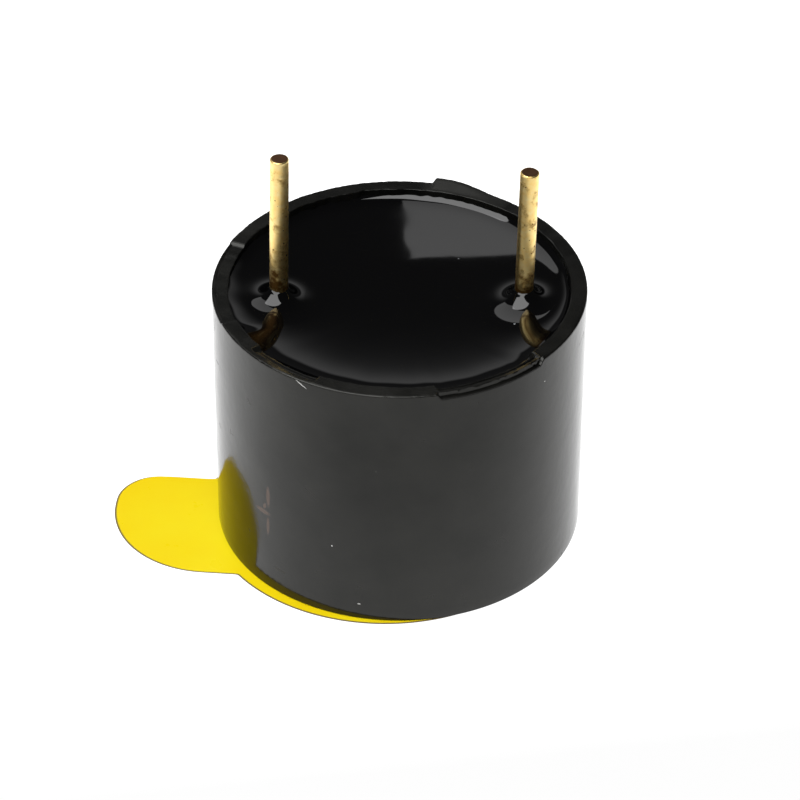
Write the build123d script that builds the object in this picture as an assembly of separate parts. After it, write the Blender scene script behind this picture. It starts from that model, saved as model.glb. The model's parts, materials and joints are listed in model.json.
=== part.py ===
from build123d import *
from math import atan2, cos, degrees, hypot, radians, sin, sqrt
import os

# Magnetic buzzer of the 12 mm class, standing on its sound face with its two pins up.
# Sizes are in millimetres. The origin is the centre of the case on the plane that the part stands
# on, which is the underside of the label. +Z runs up to the pins, and +X from the longer pin to the
# shorter one. The label's peel tab points to -X.

# ---------------------------------------------------------------- case
case_diameter = 12.0
case_height = 8.9
wall = 0.5
face_thickness = 0.8
sound_hole_diameter = 2.0
resonator_height = 1.5
ledge_width = 0.8
bottom_edge_round = 0.1
rim_edge_bevel = 0.04
drop_in_gap = 0.03  # radial clearance of everything that is dropped into the case

# Uneven rim: stepped stretches and one lump of moulding flash, by angle from +X in degrees.
rim_step_depth = 0.25
rim_lip = 0.15
rim_steps = ((-78.0, -42.0), (-142.0, -117.0))
flash_height = 0.26
flash_width = 0.36
flash_angles = (65.0, 79.0)

# ---------------------------------------------------------------- label
label_thickness = 0.1
label_diameter = 11.8
label_shift_x, label_shift_y = -0.45, -0.23  # stuck on a little off centre
tab_reach = 9.4
tab_width = 4.9
tab_middle = -1.68
tab_turn = -5.0
tab_front_corner = 3.3
tab_back_corner = 1.4
tab_neck_round = 0.25

# ---------------------------------------------------------------- sounder
diaphragm_thickness = 0.1
armature_diameter, armature_thickness = 3.2, 0.35
support_ring_width, support_ring_height = 0.72, 2.9
air_gap = 0.3
core_diameter, spigot_diameter = 2.2, 1.6
yoke_thickness = 0.8
magnet_diameter, magnet_height = 8.8, 2.2
bobbin_gap = 0.03
bobbin_wall = 0.15
bobbin_flange = 0.2
bobbin_flange_diameter = 5.6
core_proud = 0.15  # how far the core's tip stands out of the bobbin
drive_coil_build = 0.72
sense_coil_build = 0.6

# ---------------------------------------------------------------- driver board
board_thickness = 0.8
copper = 0.05
track_width = 0.3
lead_diameter = 0.12
lead_pitch = 0.8
lead_clearance = 0.24  # from the bobbin's flange to the leads, and on to the magnet
lead_bend = 0.2
lead_hole_gap = 0.04
lead_slot_margin = 0.2
lead_exit_drop = 0.3
lead_stand = 0.25
lead_pad_diameter = 0.66
lead_solder_height = 0.32
transistor_x, transistor_y = 0.0, -1.6
transistor_length, transistor_depth, transistor_height = 2.9, 1.3, 0.85
transistor_span = 2.4
transistor_stand_off = 0.05
foot_width, foot_length, foot_thickness, foot_spread = 0.4, 0.4, 0.12, 0.95
resistor_x, resistor_y = 0.0, 0.9
resistor_length, resistor_depth, resistor_height = 1.6, 0.8, 0.45
resistor_cap = 0.3
smd_pad_margin = 0.12

# ---------------------------------------------------------------- pins
pin_diameter = 0.6
pin_pitch = 7.84
pin_row_shift = 0.03
pin_hole_gap = 0.1
pin_tail_recess = 0.1
pin_pad_diameter = 1.7
shoulder_diameter = 0.92
shoulder_cover = 0.03  # resin left over the shoulder
pin_end_bevel = 0.05
left_pin_stand, left_pin_lean = 4.75, 1.1
right_pin_stand, right_pin_lean = 4.3, 0.9
pin_solder_diameter, pin_solder_height = 1.5, 0.6

# ---------------------------------------------------------------- potting
potting_drop = 0.75  # from the rim down to the middle of the resin
potting_bowl = 0.16  # how much the resin rises from its middle to the foot of the wall meniscus
wall_meniscus = 0.45
pin_meniscus = 0.5

# ---------------------------------------------------------------- heights and radii that follow
case_radius = case_diameter / 2
bore_radius = case_radius - wall
insert_radius = bore_radius - drop_in_gap
z_face = label_thickness
z_cavity = z_face + face_thickness
z_ledge = z_cavity + resonator_height
z_ring = z_ledge + diaphragm_thickness
z_yoke = z_ring + support_ring_height
z_board = z_yoke + yoke_thickness
z_board_top = z_board + board_thickness
z_pad_top = z_board_top + copper
z_rim = z_face + case_height
z_core_tip = z_ring + air_gap
z_bobbin = z_core_tip + core_proud
bobbin_radius = core_diameter / 2 + bobbin_gap + bobbin_wall
drive_radius = bobbin_radius + drive_coil_build
sense_radius = drive_radius + sense_coil_build
lead_row_y = bobbin_flange_diameter / 2 + lead_clearance + lead_diameter / 2
magnet_bore_radius = lead_row_y + lead_diameter / 2 + lead_clearance
z_potting = z_rim - potting_drop
z_wall_contact = z_rim - rim_step_depth
pin_radius = pin_diameter / 2
left_pin_x = pin_row_shift - pin_pitch / 2
right_pin_x = pin_row_shift + pin_pitch / 2
bowl_foot = bore_radius - wall_meniscus
bowl_radius = (bowl_foot**2 + potting_bowl**2) / (2 * potting_bowl)


def potting_level(radius):
    """Height of the resin's shallow bowl at a distance from the centre: an arc of bowl_radius."""
    return z_potting + bowl_radius - sqrt(bowl_radius**2 - radius**2)


def disc(radius, z_low, z_high, hole=0.0):
    """Round plate or ring about the Z axis between two heights."""
    plate = Circle(radius) - Circle(hole) if hole else Circle(radius)
    return extrude(Pos(0, 0, z_low) * plate, z_high - z_low)


def block(x, y, z_low, length, depth, height):
    """Rectangular block centred on x, y and standing on z_low."""
    return Pos(x, y, z_low) * Box(length, depth, height, align=(Align.CENTER, Align.CENTER, Align.MIN))


def ring_sector(r_low, r_high, z_low, z_high, start, end):
    """Part of a square-edged ring between two angles."""
    section = Plane.XZ * Pos((r_low + r_high) / 2, (z_low + z_high) / 2) * Rectangle(
        r_high - r_low, z_high - z_low
    )
    return Rot(0, 0, start) * revolve(section, Axis.Z, end - start)


def at_pin(x, lean, piece):
    """Places a piece made about a pin's own axis, whose zero is the seat on the pad."""
    lift = shoulder_diameter / 2 * sin(radians(lean))
    return Pos(x, 0, z_pad_top + lift) * Rot(0, lean, 0) * piece


# ---------------------------------------------------------------- housing
def make_case():
    outer = disc(case_radius, z_face, z_rim)
    outer = fillet(outer.edges().group_by(Axis.Z)[0], bottom_edge_round)
    outer = chamfer(outer.edges().group_by(Axis.Z)[-1], rim_edge_bevel)
    outer -= disc(bore_radius, z_ledge, z_rim + wall)
    outer -= disc(bore_radius - ledge_width, z_cavity, z_ledge)
    outer -= disc(sound_hole_diameter / 2, z_face - wall, z_cavity)
    lip_radius = case_radius - rim_lip
    for start, end in rim_steps:
        outer -= ring_sector(bore_radius - wall, lip_radius, z_wall_contact, z_rim + wall, start, end)
    flash_outer = case_radius - rim_edge_bevel
    flash_inner = flash_outer - flash_width
    z_flash = z_rim + flash_height
    return outer + ring_sector(flash_inner, flash_outer, z_rim - flash_height, z_flash, *flash_angles)


def make_sealing_label():
    disc_centre = Vector(label_shift_x, label_shift_y)
    tab = Pos(-tab_reach / 2, tab_middle) * Rectangle(tab_reach, tab_width)
    tip = tab.vertices().group_by(Axis.X)[0].sort_by(Axis.Y)
    tab = fillet(tip[0], tab_front_corner)
    back_corner = tab.vertices().sort_by(Axis.Y)[-2:].sort_by(Axis.X)[0]
    tab = Rot(0, 0, tab_turn) * fillet(back_corner, tab_back_corner)
    outline = Pos(disc_centre) * Circle(label_diameter / 2) + tab
    on_disc = [
        v for v in outline.vertices()
        if abs((Vector(v.X, v.Y) - disc_centre).length - label_diameter / 2) < 0.01 and v.X < disc_centre.X
    ]
    return extrude(fillet(on_disc, tab_neck_round), label_thickness)


# ---------------------------------------------------------------- sounder
def make_diaphragm():
    return disc(insert_radius, z_ledge, z_ring)


def make_armature_disc():
    return disc(armature_diameter / 2, z_ledge - armature_thickness, z_ledge)


def make_support_ring():
    return disc(insert_radius, z_ring, z_yoke, insert_radius - support_ring_width)


def make_ring_magnet():
    return disc(magnet_diameter / 2, z_yoke - magnet_height, z_yoke, magnet_bore_radius)


def make_yoke_plate():
    slot_length = 2 * lead_pitch + lead_diameter + 2 * lead_slot_margin
    slot = Pos(0, lead_row_y, z_yoke) * SlotOverall(slot_length, lead_diameter + 2 * lead_slot_margin)
    return disc(insert_radius, z_yoke, z_board, spigot_diameter / 2) - extrude(slot, yoke_thickness)


def make_pole_core():
    return disc(core_diameter / 2, z_core_tip, z_yoke) + disc(spigot_diameter / 2, z_yoke, z_board)


def make_coil_bobbin():
    bore = core_diameter / 2 + bobbin_gap
    tube = disc(bobbin_radius, z_bobbin, z_yoke, bore)
    for z in (z_bobbin, z_yoke - bobbin_flange):
        tube += disc(bobbin_flange_diameter / 2, z, z + bobbin_flange, bore)
    return tube


def make_winding(r_low, r_high):
    return disc(r_high, z_bobbin + bobbin_flange, z_yoke - bobbin_flange, r_low)


# ---------------------------------------------------------------- driver board
lead_x = {"supply": -lead_pitch, "drive": 0.0, "sense": lead_pitch}
foot_reach = (transistor_span - foot_length) / 2
feet = {
    "base": (transistor_x - foot_spread, transistor_y - foot_reach),
    "emitter": (transistor_x + foot_spread, transistor_y - foot_reach),
    "collector": (transistor_x, transistor_y + foot_reach),
}
cap_reach = (resistor_length - resistor_cap) / 2


def make_coil_lead(x):
    z_exit = z_yoke - bobbin_flange - lead_exit_drop
    y_exit = sqrt(sense_radius**2 - x**2)
    z_end = z_pad_top + lead_stand
    corner = (x, lead_row_y, z_exit)
    route = FilletPolyline((x, y_exit, z_exit), corner, (x, lead_row_y, z_end), radius=lead_bend)
    return sweep(Plane(origin=(x, y_exit, z_exit), z_dir=(0, 1, 0)) * Circle(lead_diameter / 2), route)


def make_circuit_board():
    board = disc(insert_radius, z_board, z_board_top)
    for x in (left_pin_x, right_pin_x):
        board -= Pos(x, 0, 0) * disc(pin_radius + pin_hole_gap, z_board, z_board_top)
    for x in lead_x.values():
        board -= Pos(x, lead_row_y, 0) * disc(lead_diameter / 2 + lead_hole_gap, z_board, z_board_top)
    return board


def round_pad(x, y, diameter, hole):
    return Pos(x, y, 0) * disc(diameter / 2, z_board_top, z_pad_top, hole)


def square_pad(x, y, length, depth):
    return block(x, y, z_board_top, length + 2 * smd_pad_margin, depth + 2 * smd_pad_margin, copper)


def track(start, end):
    """Straight copper track between two points."""
    run_x, run_y = end[0] - start[0], end[1] - start[1]
    strip = block(0, 0, z_board_top, hypot(run_x, run_y), track_width, copper)
    turn = Rot(0, 0, degrees(atan2(run_y, run_x)))
    return Pos((start[0] + end[0]) / 2, (start[1] + end[1]) / 2, 0) * turn * strip


def make_copper_pads():
    """The five etched nets, each one piece of copper."""
    lead_hole = lead_diameter / 2 + lead_hole_gap
    pin_hole = pin_radius + pin_hole_gap
    lead_pad = {name: round_pad(x, lead_row_y, lead_pad_diameter, lead_hole) for name, x in lead_x.items()}
    lead_at = {name: (x, lead_row_y) for name, x in lead_x.items()}
    foot_pad = {name: square_pad(x, y, foot_width, foot_length) for name, (x, y) in feet.items()}
    cap_at = {
        "left": (resistor_x - cap_reach, resistor_y),
        "right": (resistor_x + cap_reach, resistor_y),
    }
    cap_pad = {side: square_pad(x, y, resistor_cap, resistor_depth) for side, (x, y) in cap_at.items()}
    pin_pad = {x: round_pad(x, 0, pin_pad_diameter, pin_hole) for x in (left_pin_x, right_pin_x)}
    nets = [
        pin_pad[left_pin_x] + lead_pad["supply"] + track((left_pin_x, 0), lead_at["supply"]),
        lead_pad["drive"] + foot_pad["collector"] + track(feet["collector"], lead_at["drive"]),
        lead_pad["sense"] + cap_pad["right"] + track(cap_at["right"], lead_at["sense"]),
        cap_pad["left"] + foot_pad["base"] + track(feet["base"], cap_at["left"]),
        foot_pad["emitter"] + pin_pad[right_pin_x] + track(feet["emitter"], (right_pin_x, 0)),
    ]
    holes = [Pos(x, lead_row_y, 0) * disc(lead_hole, z_board_top, z_pad_top) for x in lead_x.values()]
    holes += [Pos(x, 0, 0) * disc(pin_hole, z_board_top, z_pad_top) for x in (left_pin_x, right_pin_x)]
    board_outline = disc(insert_radius, z_board_top, z_pad_top)
    return Compound([solid for net in nets for solid in ((net - holes) & board_outline).solids()])


def make_transistor():
    z_body = z_pad_top + transistor_stand_off
    body = block(transistor_x, transistor_y, z_body, transistor_length, transistor_depth, transistor_height)
    body = chamfer(body.edges().group_by(Axis.Z)[-1], foot_thickness)
    z_knee = z_body + transistor_height / 2
    for x, y in feet.values():
        side = 1 if y > transistor_y else -1
        body_side = transistor_y + side * transistor_depth / 2
        riser_y = y - side * (foot_length - foot_thickness) / 2
        arm = abs(riser_y - body_side) + foot_thickness
        body += block(x, y, z_pad_top, foot_width, foot_length, foot_thickness)
        body += block(x, riser_y, z_pad_top, foot_width, foot_thickness, z_knee - z_pad_top)
        arm_y = (riser_y + body_side) / 2
        body += block(x, arm_y, z_knee - foot_thickness, foot_width, arm, foot_thickness)
    return body


def make_base_resistor():
    cap_skin = resistor_height / 15
    body = block(resistor_x, resistor_y, z_pad_top + cap_skin, resistor_length - resistor_cap,
                 resistor_depth - 2 * cap_skin, resistor_height - 2 * cap_skin)
    for sign in (-1, 1):
        x = resistor_x + sign * cap_reach
        body += block(x, resistor_y, z_pad_top, resistor_cap, resistor_depth, resistor_height)
    return body


def make_solder_leads(leads):
    dome = Cone(lead_pad_diameter / 2, lead_diameter, lead_solder_height,
                align=(Align.CENTER, Align.CENTER, Align.MIN))
    domes = [Pos(x, lead_row_y, z_pad_top) * dome - leads[name] for name, x in lead_x.items()]
    return Compound([solid for dome in domes for solid in dome.solids()])


# ---------------------------------------------------------------- pins
def shoulder_height(x):
    """The shoulder ends just under the resin's bowl, whose height is taken at its inner side."""
    inner_side = abs(x) - shoulder_diameter / 2
    return potting_level(inner_side) - shoulder_cover - z_pad_top


def pin_length(stand, lean):
    lift = shoulder_diameter / 2 * sin(radians(lean))
    return (z_rim + stand - z_pad_top - lift) / cos(radians(lean))


def make_terminal_pin(x, stand, lean):
    """Turned pin: a tail in the board's hole, a shoulder on the pad and the long round shaft."""
    tail = board_thickness + copper - pin_tail_recess
    top = pin_length(stand, lean)
    shaft = disc(pin_radius, -tail, top)
    shaft = chamfer(shaft.edges().group_by(Axis.Z)[-1], pin_end_bevel)
    shaft += disc(shoulder_diameter / 2, 0, shoulder_height(x))
    return at_pin(x, lean, shaft)


def make_pin_solder(x, lean, pin):
    cone = Cone(pin_solder_diameter / 2, shoulder_diameter / 2 + copper, pin_solder_height,
                align=(Align.CENTER, Align.CENTER, Align.MIN))
    board_outline = disc(insert_radius, z_pad_top, z_pad_top + pin_solder_height)
    return (Pos(x, 0, z_pad_top) * cone) & board_outline - pin


# ---------------------------------------------------------------- potting
def hollow_arc(foot, rim):
    """Arc that leaves its foot nearly level and climbs to its rim, hollow side up."""
    run, climb = rim[0] - foot[0], rim[1] - foot[1]
    middle = foot[0] + run * sin(radians(45)), foot[1] + climb * (1 - cos(radians(45)))
    return ThreePointArc(foot, middle, rim)


def make_pin_meniscus(x, lean):
    """Resin drawn up a pin: a solid of revolution whose side is a hollow arc."""
    level = potting_level(abs(x)) - z_pad_top - shoulder_cover
    root = level - shoulder_cover
    foot = pin_radius + pin_meniscus
    top = level + pin_meniscus
    outline = Polyline((pin_radius, top), (0, top), (0, root), (foot, root), (foot, level))
    outline += hollow_arc((foot, level), (pin_radius, top))
    return at_pin(x, lean, revolve(Plane.XZ * make_face(outline), Axis.Z))


def make_potting_epoxy(buried):
    """Resin from the board to the bowl, less everything that is buried in it. It closes over the
    solder, so what is left in the holes of the pads stays empty: the one large solid is the resin."""
    foot = bowl_foot, potting_level(bowl_foot)
    contact = bore_radius, z_wall_contact
    half_way = bowl_foot / 2, potting_level(bowl_foot / 2)
    outline = Polyline((0, z_potting), (0, z_board_top), (bore_radius, z_board_top), contact)
    outline += hollow_arc(foot, contact)
    outline += ThreePointArc(foot, half_way, (0, z_potting))
    resin = revolve(Plane.XZ * make_face(outline), Axis.Z)
    bore = disc(bore_radius, z_board_top, z_rim + pin_meniscus)
    for x, lean in ((left_pin_x, left_pin_lean), (right_pin_x, right_pin_lean)):
        resin += make_pin_meniscus(x, lean) & bore
    for piece in buried:
        resin -= piece
    return resin.solids().sort_by(SortBy.VOLUME)[-1]


# ---------------------------------------------------------------- assembly
nodes = {
    "case": make_case(),
    "sealing_label": make_sealing_label(),
    "diaphragm": make_diaphragm(),
    "armature_disc": make_armature_disc(),
    "support_ring": make_support_ring(),
    "ring_magnet": make_ring_magnet(),
    "yoke_plate": make_yoke_plate(),
    "pole_core": make_pole_core(),
    "coil_bobbin": make_coil_bobbin(),
    "drive_coil": make_winding(bobbin_radius, drive_radius),
    "sense_coil": make_winding(drive_radius, sense_radius),
    "circuit_board": make_circuit_board(),
    "copper_pads": make_copper_pads(),
    "transistor": make_transistor(),
    "base_resistor": make_base_resistor(),
    "terminal_pin_left": make_terminal_pin(left_pin_x, left_pin_stand, left_pin_lean),
    "terminal_pin_right": make_terminal_pin(right_pin_x, right_pin_stand, right_pin_lean),
}
leads = {name: make_coil_lead(x) for name, x in lead_x.items()}
nodes.update({f"coil_lead_{name}": lead for name, lead in leads.items()})
nodes["solder_leads"] = make_solder_leads(leads)
nodes["solder_pin_left"] = make_pin_solder(left_pin_x, left_pin_lean, nodes["terminal_pin_left"])
nodes["solder_pin_right"] = make_pin_solder(right_pin_x, right_pin_lean, nodes["terminal_pin_right"])
buried_names = ["copper_pads", "transistor", "base_resistor", "solder_leads", "solder_pin_left",
                "solder_pin_right", "terminal_pin_left", "terminal_pin_right"]
nodes["potting_epoxy"] = make_potting_epoxy([nodes[name] for name in buried_names])

os.makedirs("parts", exist_ok=True)
for name, shape in nodes.items():
    export_step(shape, f"parts/{name}.step")
print("nodes written:", len(nodes))
for side, x, stand, lean in (("left", left_pin_x, left_pin_stand, left_pin_lean),
                             ("right", right_pin_x, right_pin_stand, right_pin_lean)):
    low, high = shoulder_height(x), pin_length(stand, lean) - pin_end_bevel
    centre = at_pin(x, lean, Pos(0, 0, (low + high) / 2)).position
    print(side, "pin: bare wall length", round(high - low, 3), "centre", [round(v, 4) for v in centre])
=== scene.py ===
# %% [markdown]
# # A magnetic buzzer with a potted back
#
# A small round sounder stands on its sound face. What shows is a moulded black cup, black resin
# that was poured into its open end, two gold-plated pins that come up through the resin, and a
# yellow film that is stuck over the sound hole. Every piece that shows is worked out here as a
# surface: a grid of points given by a formula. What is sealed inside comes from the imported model
# and only gets its finish.

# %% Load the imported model
import bpy
import json
import numpy as np
from mathutils import Matrix, Vector


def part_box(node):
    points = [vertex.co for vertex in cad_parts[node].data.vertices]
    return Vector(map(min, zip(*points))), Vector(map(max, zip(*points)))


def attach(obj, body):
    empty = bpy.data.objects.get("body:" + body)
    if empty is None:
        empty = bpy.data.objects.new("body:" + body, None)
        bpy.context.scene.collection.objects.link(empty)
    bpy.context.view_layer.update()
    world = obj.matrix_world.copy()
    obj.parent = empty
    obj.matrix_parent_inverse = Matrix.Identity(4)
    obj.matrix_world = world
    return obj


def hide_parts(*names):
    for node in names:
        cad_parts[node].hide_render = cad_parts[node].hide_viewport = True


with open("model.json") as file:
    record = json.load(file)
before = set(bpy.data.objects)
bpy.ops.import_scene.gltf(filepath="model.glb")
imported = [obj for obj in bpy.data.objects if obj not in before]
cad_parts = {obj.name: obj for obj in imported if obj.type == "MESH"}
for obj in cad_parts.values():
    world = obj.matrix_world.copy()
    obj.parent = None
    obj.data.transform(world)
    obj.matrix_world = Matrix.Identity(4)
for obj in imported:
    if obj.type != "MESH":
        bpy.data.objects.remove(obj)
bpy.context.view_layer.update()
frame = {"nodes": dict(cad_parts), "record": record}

# %% [markdown]
# ## Sizes from the model
#
# The pieces have to fit each other, so their sizes are read from the model's own nodes. Lengths
# in this file are in millimetres up to the moment when a mesh is made, because a rim half a
# millimetre wide is easier to read as 0.5 than as 0.0005.

# %% Measure the nodes
MM = 0.001


def node_box(name):
    """Lowest and highest corner of a model node, in millimetres."""
    low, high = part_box(name)
    return np.array(low) / MM, np.array(high) / MM


case_low, case_high = node_box("case")
board_low, board_high = node_box("circuit_board")
label_low, label_high = node_box("sealing_label")
ledge = node_box("diaphragm")[0][2]
case_radius = (case_high[0] - case_low[0]) / 2
bore_radius = (board_high[0] - board_low[0]) / 2 + 0.03
face_z = case_low[2]
flash_height = 0.26
rim_z = case_high[2] - flash_height
resin_floor = board_high[2]
pins = {m["name"]: m for m in frame["record"]["mounts"] if m["kind"] == "pin"}
print("case radius", case_radius, "bore", bore_radius, "rim height", round(rim_z, 3))

# %% [markdown]
# ## Grids become meshes
#
# A surface with two parameters is a table of points. Neighbours in the table share a face, and a
# table that is closed in one direction joins its last column to its first. The whole table goes
# into the mesh at once, which is fast and needs no loop over points.

# %% Grid mesh helper


def grid_faces(rows, columns, close_rows=False, close_columns=False):
    """Corner numbers of each quad: point (i, j) is number i * columns + j, and a quad joins
    (i, j), (i, j + 1), (i + 1, j + 1) and (i + 1, j)."""
    i = np.arange(rows if close_rows else rows - 1)[:, None]
    j = np.arange(columns if close_columns else columns - 1)[None, :]
    i2, j2 = (i + 1) % rows, (j + 1) % columns
    corners = [i * columns + j, i * columns + j2, i2 * columns + j2, i2 * columns + j]
    return np.stack([np.broadcast_to(c, (i.shape[0], j.shape[1])) for c in corners], -1).reshape(-1, 4)


def fan_faces(ring, centre, flip=False):
    """Triangles from a closed ring of point numbers to one centre point."""
    following = np.roll(ring, -1)
    order = (following, ring) if flip else (ring, following)
    return np.stack([order[0], order[1], np.full(len(ring), centre)], -1)


def make_mesh(name, points_mm, quads, triangles=None, sharp_degrees=None):
    """Makes a smooth-shaded object at the origin from points in millimetres."""
    mesh = bpy.data.meshes.new(name)
    triangles = np.zeros((0, 3), int) if triangles is None else triangles
    sizes = np.concatenate([np.full(len(quads), 4), np.full(len(triangles), 3)])
    corners = np.concatenate([quads.ravel(), triangles.ravel()]).astype(np.int32)
    mesh.vertices.add(len(points_mm))
    mesh.vertices.foreach_set("co", (points_mm * MM).astype(np.float32).ravel())
    mesh.loops.add(len(corners))
    mesh.loops.foreach_set("vertex_index", corners)
    mesh.polygons.add(len(sizes))
    mesh.polygons.foreach_set("loop_start", np.concatenate([[0], np.cumsum(sizes)[:-1]]).astype(np.int32))
    mesh.polygons.foreach_set("use_smooth", np.ones(len(sizes), bool))
    mesh.update(calc_edges=True)
    mesh.validate()
    if sharp_degrees:
        mesh.set_sharp_from_angle(angle=np.radians(sharp_degrees))
    piece = bpy.data.objects.new(name, mesh)
    bpy.context.scene.collection.objects.link(piece)
    print(f"{name}: {len(points_mm)} points, {int((sizes - 2).sum())} triangles")
    return piece


def paint(piece, name, values):
    """Stores one number per point, for a material to read."""
    attribute = piece.data.attributes.new(name, "FLOAT", "POINT")
    attribute.data.foreach_set("value", np.asarray(values, np.float32).ravel())


# %% [markdown]
# ## Repeatable unevenness
#
# Moulded edges and poured resin are never quite regular. A sum of waves round the circle, with
# seeded sizes and starts, gives an uneven line that meets itself again after one turn.

# %% Waves round the circle


def wobble(angle, seed, lowest, highest, rough=1.0):
    """Sum of sines of whole numbers of waves a turn, each with a random size that falls with its
    number to the power rough; the result is between about -1 and 1."""
    rng = np.random.default_rng(seed)
    number = np.arange(lowest, highest + 1)
    size = rng.normal(size=number.size) / (number / lowest) ** rough
    start = rng.uniform(0, 2 * np.pi, number.size)
    waves = np.sin(number * np.asarray(angle)[..., None] + start) * size
    return waves.sum(-1) / np.sqrt((size**2).sum() / 2) / 2


def ramp(x, low, high):
    """Smooth step: 0 below low, 1 above high, and an S-shaped curve between."""
    t = np.clip((x - low) / (high - low), 0, 1)
    return t * t * (3 - 2 * t)


def stretch(angle_degrees, start, end, soft=0.8):
    """1 between two angles, 0 outside, with ends soft degrees wide. Angles run from -180 to 180."""
    middle, half = (start + end) / 2, (end - start) / 2
    away = np.abs((angle_degrees - middle + 180) % 360 - 180)
    return 1 - ramp(away, half - soft, half + soft)


# %% [markdown]
# ## The moulded cup
#
# The case is a solid of revolution: one closed outline in radius and height, carried round the
# axis. Its rim isn't even. It has a stretch that is stepped down at the front right, a shorter
# one at the front left, a stretch at the left that the resin ran over, and a lump of flash at the
# back. So the heights of the rim's points come from a function of angle and radius.

# %% The rim's height as a function
front_right, front_left, flooded, flash = (-78, -42), (-142, -117), (157, 201), (56, 79)


def rim_top(angle, radius):
    """Height of the rim at an angle and radius: flat, less the steps, plus the lump."""
    degrees = np.degrees(angle)
    inward = case_radius - radius
    right = stretch(degrees, *front_right)
    outer_lip = 1 - ramp(inward, 0.11, 0.13)
    groove = ramp(inward, 0.24, 0.26) * (1 - ramp(inward, 0.29, 0.31))
    inner_fall = ramp(inward, 0.3, 0.5)
    z = rim_z - right * (0.02 + 0.16 * outer_lip + 0.05 * groove + 0.16 * inner_fall)
    left = stretch(degrees, *front_left)
    z = z - left * (0.10 * ramp(inward, 0.2, 0.24) + 0.05 * ramp(inward, 0.3, 0.5))
    z = z - stretch(degrees, *flooded, soft=0.5) * (0.05 + 0.03 * ramp(inward, 0.02, 0.12))
    lump_taper = 1 - ramp(-degrees, -flash[1] + 5, -flash[0])
    lump_side = 1 - ramp(inward, 0.12, 0.46)
    z = z + stretch(degrees, *flash, soft=0.9) * lump_taper * lump_side * flash_height * 0.85
    return z + 0.008 * wobble(angle, 4, 5, 60, 0.6) * ramp(inward, 0.02, 0.1)


def inner_edge(angle):
    """Radius of the rim's ragged inner edge: worst at the back, where scraps of resin cling."""
    degrees = np.degrees(angle)
    ragged = 0.010 + 0.028 * stretch(degrees, 84, 150, 12) + 0.010 * stretch(degrees, -150, -30, 12)
    bitten = np.clip(wobble(angle, 11, 9, 110, 0.6), -0.9, 1.2)
    return bore_radius - 0.02 + ragged * bitten


# %% Outline and surface of the case
turn_count = 900
turn = np.linspace(-np.pi, np.pi, turn_count, endpoint=False)


def arc(centre, radius, start, end, count):
    """Points on an arc, by angle in degrees, as (radius, height) pairs."""
    a = np.radians(np.linspace(start, end, count))
    return np.stack([centre[0] + radius * np.cos(a), centre[1] + radius * np.sin(a)], -1)


def line(start, end, count):
    """Points on a straight run, without its last one."""
    return np.linspace(start, end, count, endpoint=False)


hole_radius, cavity_radius, cavity_floor = 1.0, bore_radius - 0.8, face_z + 0.8
foot_round, rim_round = 0.045, 0.055
foot_z = face_z - 0.08
wall_part = [
    arc((case_radius - foot_round, foot_z + foot_round), foot_round, -90, 0, 7),
    line((case_radius, face_z + 0.3), (case_radius, rim_z - 0.3), 14),
    line((case_radius, rim_z - 0.3), (case_radius, rim_z - rim_round), 6),
]
rim_part = [
    arc((case_radius - rim_round, rim_z - rim_round), rim_round, 0, 90, 6)[:-1],
    line((case_radius - rim_round, rim_z), (bore_radius + 0.02, rim_z), 26),
]
inside_part = [
    arc((bore_radius + 0.02, rim_z - 0.02), 0.02, 90, 180, 4),
    line((bore_radius, rim_z - 0.05), (bore_radius, rim_z - 1.0), 10),
    line((bore_radius, rim_z - 1.0), (bore_radius, ledge), 4),
    line((bore_radius, ledge), (cavity_radius, ledge), 2),
    line((cavity_radius, ledge), (cavity_radius, cavity_floor), 3),
    line((cavity_radius, cavity_floor), (hole_radius, cavity_floor), 3),
    line((hole_radius, cavity_floor), (hole_radius, face_z), 3),
    line((hole_radius, face_z), (case_radius - foot_round, foot_z), 4),
]
outline = np.concatenate(wall_part + rim_part + inside_part)
part_of = np.repeat([0, 1, 2], [sum(len(p) for p in part) for part in (wall_part, rim_part, inside_part)])


def case_surface():
    """The outline carried round the axis. Rim points move in or out with the ragged inner edge, in
    proportion to how near they are to it, and take their height from rim_top; a wall point that
    would stand above the rim is brought down to it."""
    radius = np.tile(outline[:, 0], (turn_count, 1))
    height = np.tile(outline[:, 1], (turn_count, 1))
    angle = turn[:, None]
    near_rim = (height > rim_z - 0.45) & (part_of[None, :] > 0)
    share = np.clip((case_radius - radius) / (case_radius - bore_radius), 0, 1) * near_rim
    radius = radius + share * (inner_edge(turn)[:, None] - bore_radius)
    top = rim_top(np.broadcast_to(angle, radius.shape), radius)
    fall = (rim_z - height) * (part_of[None, :] > 0)
    height = np.where(near_rim & (part_of[None, :] == 1), top - fall, np.minimum(height, top))
    outer_edge = 0.01 * wobble(turn, 21, 20, 200, 0.3)[:, None] * ramp(height, rim_z - 0.06, rim_z)
    radius = radius + outer_edge * (radius > case_radius - 0.05)
    return np.stack([radius * np.cos(angle), radius * np.sin(angle), height], -1)


case_points = case_surface()
case_quads = grid_faces(turn_count, len(outline), True, True)[:, ::-1]
case = make_mesh("case_shell", case_points.reshape(-1, 3), case_quads, sharp_degrees=40)
rimness = np.outer(1 + 6 * stretch(np.degrees(turn), 54, 81, 3), part_of == 1)
paint(case, "rim", rimness)

# %% [markdown]
# ## The poured resin
#
# Liquid resin climbs whatever it touches, and the climb dies away with distance from the wall or
# the pin. So its height is a shallow bowl plus one falling exponential for the wall and one for
# each pin. On a mirror-black surface nothing else shows the shape, so the points are close
# together where it bends.

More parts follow.
